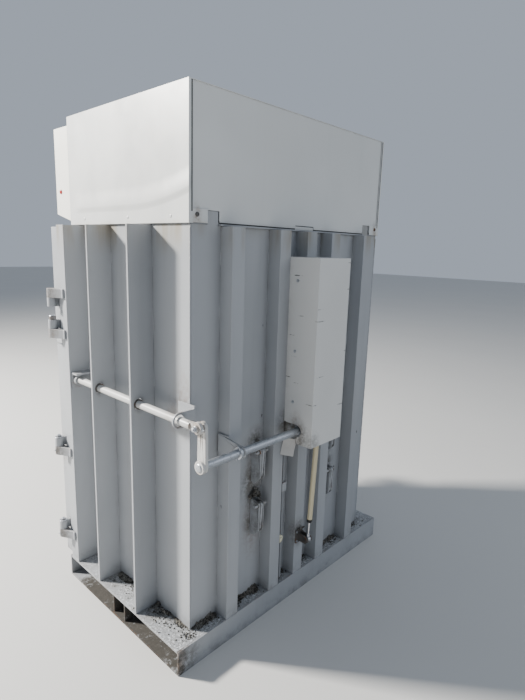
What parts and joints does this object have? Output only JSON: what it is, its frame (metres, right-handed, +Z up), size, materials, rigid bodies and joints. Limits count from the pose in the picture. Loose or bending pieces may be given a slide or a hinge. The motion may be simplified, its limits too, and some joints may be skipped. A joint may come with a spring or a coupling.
{
  "type": "recycling baler",
  "caption": "Upright recycling baler: ribbed steel chamber with two front doors, telescopic press under a hood, floor flap ejector with rear linkage, on a forkable base.",
  "frame": {"origin": "on the floor, in the middle of the underside of the base frame", "axes": "+Z up, +X to the hinge side of the doors, -Y out of the doors (front), +Y to the rear with the linkage cover"},
  "size_m": [1.368, 1.1475, 2.029],
  "materials": {
    "body_paint": "satin",
    "hood_paint": "satin",
    "cover_paint": "satin",
    "rod_paint": "satin",
    "galvanised": "satin",
    "dark_steel": "satin",
    "chrome_rod": "polished",
    "barrel_paint": "satin",
    "motor_paint": "satin",
    "tank_paint": "satin",
    "valve_metal": "satin",
    "nylon": "matte",
    "gas_cream": "satin",
    "inner_steel": "worn satin",
    "switch_black": "satin",
    "button_red": "gloss",
    "button_green": "gloss"
  },
  "bodies": {
    "frame": {"base_frame": "body_paint", "base_plate": "body_paint", "wall_rear": "body_paint", "ribs_rear": "body_paint", "wall_hinge_side": "body_paint", "fins_hinge_side": "body_paint", "post_hinge_side": "body_paint", "wall_lock_side": "body_paint", "fins_lock_side": "body_paint", "post_lock_side": "body_paint", "header_beam": "body_paint", "roof_plate": "body_paint", "crossbeams": "body_paint", "hood": "hood_paint", "fasteners": "galvanised", "control_box": "hood_paint", "oil_tank": "tank_paint", "motor": "motor_paint", "valve_block": "valve_metal", "oil_pipes": "galvanised", "cylinder_barrel": "barrel_paint", "door_hinges": "body_paint", "lock_keeper": "body_paint", "latch_keeper": "body_paint", "rod_guides": "body_paint", "shaft_bracket": "body_paint", "cover": "cover_paint", "lift_guides": "body_paint", "guide_disc": "nylon", "gas_bracket": "dark_steel", "flap_hinge": "dark_steel", "claw_brackets": "dark_steel"},
    "press": {"platen": "inner_steel", "platen_shoes": "nylon", "plunger": "chrome_rod"},
    "stage_a": {"stage_one": "chrome_rod"},
    "stage_b": {"stage_two": "chrome_rod"},
    "lower_door": {"bale_door": "body_paint", "lower_grip": "dark_steel"},
    "upper_door": {"loading_door": "body_paint", "upper_grip": "dark_steel"},
    "wheel": {"handwheel": "dark_steel"},
    "latch": {"door_latch": "dark_steel"},
    "rod": {"push_rod": "rod_paint"},
    "shaft": {"ejector_shaft": "galvanised", "crank": "rod_paint"},
    "lift": {"lift_slide": "inner_steel"},
    "pawl": {"catch_pawl": "dark_steel"},
    "spring_rod": {"gas_rod": "chrome_rod"},
    "spring_tube": {"gas_tube": "gas_cream"},
    "flap": {"ejector_flap": "inner_steel"},
    "claw_a": {"claw_one": "dark_steel"},
    "claw_b": {"claw_two": "dark_steel"},
    "claw_c": {"claw_three": "dark_steel"},
    "claw_d": {"claw_four": "dark_steel"},
    "panel": {"cabinet_door": "hood_paint"},
    "stop_head": {"emergency_stop": "button_red"},
    "start": {"start_button": "button_green"},
    "stop": {"stop_button": "button_red"},
    "switch": {"main_switch": "switch_black"}
  },
  "joints": [
    {"name": "press_stroke", "type": "slide", "parent": "frame", "child": "press", "axis": [0, 0, 1], "range_m": [-0.9, 0]},
    {"name": "stage_one_stroke", "type": "slide", "parent": "frame", "child": "stage_a", "axis": [0, 0, 1], "range_m": [-0.3, 0]},
    {"name": "stage_two_stroke", "type": "slide", "parent": "frame", "child": "stage_b", "axis": [0, 0, 1], "range_m": [-0.6, 0]},
    {"name": "lower_door_swing", "type": "hinge", "parent": "frame", "child": "lower_door", "pos_m": [0.685, -0.42, 0.6], "axis": [0, 0, 1], "range_deg": [0, 110]},
    {"name": "upper_door_swing", "type": "hinge", "parent": "frame", "child": "upper_door", "pos_m": [0.685, -0.42, 1.35], "axis": [0, 0, 1], "range_deg": [0, 110]},
    {"name": "wheel_turn", "type": "hinge", "parent": "lower_door", "child": "wheel", "pos_m": [-0.56, -0.52, 0.61], "axis": [0, 1, 0], "range_deg": [-90, 0]},
    {"name": "latch_turn", "type": "hinge", "parent": "upper_door", "child": "latch", "pos_m": [-0.56, -0.49, 1.34], "axis": [0, 1, 0], "range_deg": [-90, 0]},
    {"name": "shaft_turn", "type": "hinge", "parent": "frame", "child": "shaft", "pos_m": [0.3, 0.475, 0.82], "axis": [1, 0, 0], "range_deg": [0, 15]},
    {"name": "rod_slide", "type": "slide", "parent": "frame", "child": "rod", "axis": [0, 1, 0], "range_m": [-0.0365, 0]},
    {"name": "lift_stroke", "type": "slide", "parent": "frame", "child": "lift", "axis": [0, 0, 1], "range_m": [0, 0.332]},
    {"name": "pawl_turn", "type": "hinge", "parent": "lift", "child": "pawl", "pos_m": [0.072, 0.37, 1], "axis": [1, 0, 0], "range_deg": [-15, 0]},
    {"name": "flap_tilt", "type": "hinge", "parent": "frame", "child": "flap", "pos_m": [0, -0.35, 0.118], "axis": [1, 0, 0], "range_deg": [0, 30]},
    {"name": "spring_tilt", "type": "hinge", "parent": "frame", "child": "spring_rod", "pos_m": [0, 0.462, 0.285], "axis": [1, 0, 0], "range_deg": [0, 0.8]},
    {"name": "spring_stroke", "type": "slide", "parent": "spring_rod", "child": "spring_tube", "axis": [0, 0.041, 0.9992], "range_m": [0, 0.333]},
    {"name": "claw_a_swing", "type": "hinge", "parent": "frame", "child": "claw_a", "pos_m": [0.24, 0.392, 0.742], "axis": [1, 0, 0], "range_deg": [0, 25], "stiffness_Nm_per_rad": 4, "springref_deg": -20.05},
    {"name": "claw_b_swing", "type": "hinge", "parent": "frame", "child": "claw_b", "pos_m": [0.24, 0.392, 0.512], "axis": [1, 0, 0], "range_deg": [0, 25], "stiffness_Nm_per_rad": 4, "springref_deg": -20.05},
    {"name": "claw_c_swing", "type": "hinge", "parent": "frame", "child": "claw_c", "pos_m": [-0.24, 0.392, 0.742], "axis": [1, 0, 0], "range_deg": [0, 25], "stiffness_Nm_per_rad": 4, "springref_deg": -20.05},
    {"name": "claw_d_swing", "type": "hinge", "parent": "frame", "child": "claw_d", "pos_m": [-0.24, 0.392, 0.512], "axis": [1, 0, 0], "range_deg": [0, 25], "stiffness_Nm_per_rad": 4, "springref_deg": -20.05},
    {"name": "panel_swing", "type": "hinge", "parent": "frame", "child": "panel", "pos_m": [0.179, -0.5655, 1.8], "axis": [0, 0, 1], "range_deg": [-110, 0]},
    {"name": "stop_head_press", "type": "slide", "parent": "panel", "child": "stop_head", "axis": [0, 1, 0], "range_m": [0, 0.004]},
    {"name": "start_press", "type": "slide", "parent": "panel", "child": "start", "axis": [0, 1, 0], "range_m": [0, 0.004], "stiffness_N_per_m": 500},
    {"name": "stop_press", "type": "slide", "parent": "panel", "child": "stop", "axis": [0, 1, 0], "range_m": [0, 0.004], "stiffness_N_per_m": 500},
    {"name": "switch_turn", "type": "hinge", "parent": "panel", "child": "switch", "pos_m": [0.375, -0.57, 1.889], "axis": [0, 1, 0], "range_deg": [-90, 0]}
  ],
  "couplings": [
    {"joint": "stage_one_stroke", "follows": "press_stroke", "ratio": 0.33333},
    {"joint": "stage_two_stroke", "follows": "press_stroke", "ratio": 0.66667},
    {"joint": "rod_slide", "follows": "shaft_turn", "m_per_rad": -0.1371},
    {"joint": "pawl_turn", "follows": "shaft_turn", "ratio": -1},
    {"joint": "flap_tilt", "follows": "lift_stroke", "rad_per_m": 1.575},
    {"joint": "spring_tilt", "follows": "lift_stroke", "rad_per_m": 0.03601},
    {"joint": "spring_stroke", "follows": "lift_stroke", "ratio": 0.99941}
  ]
}
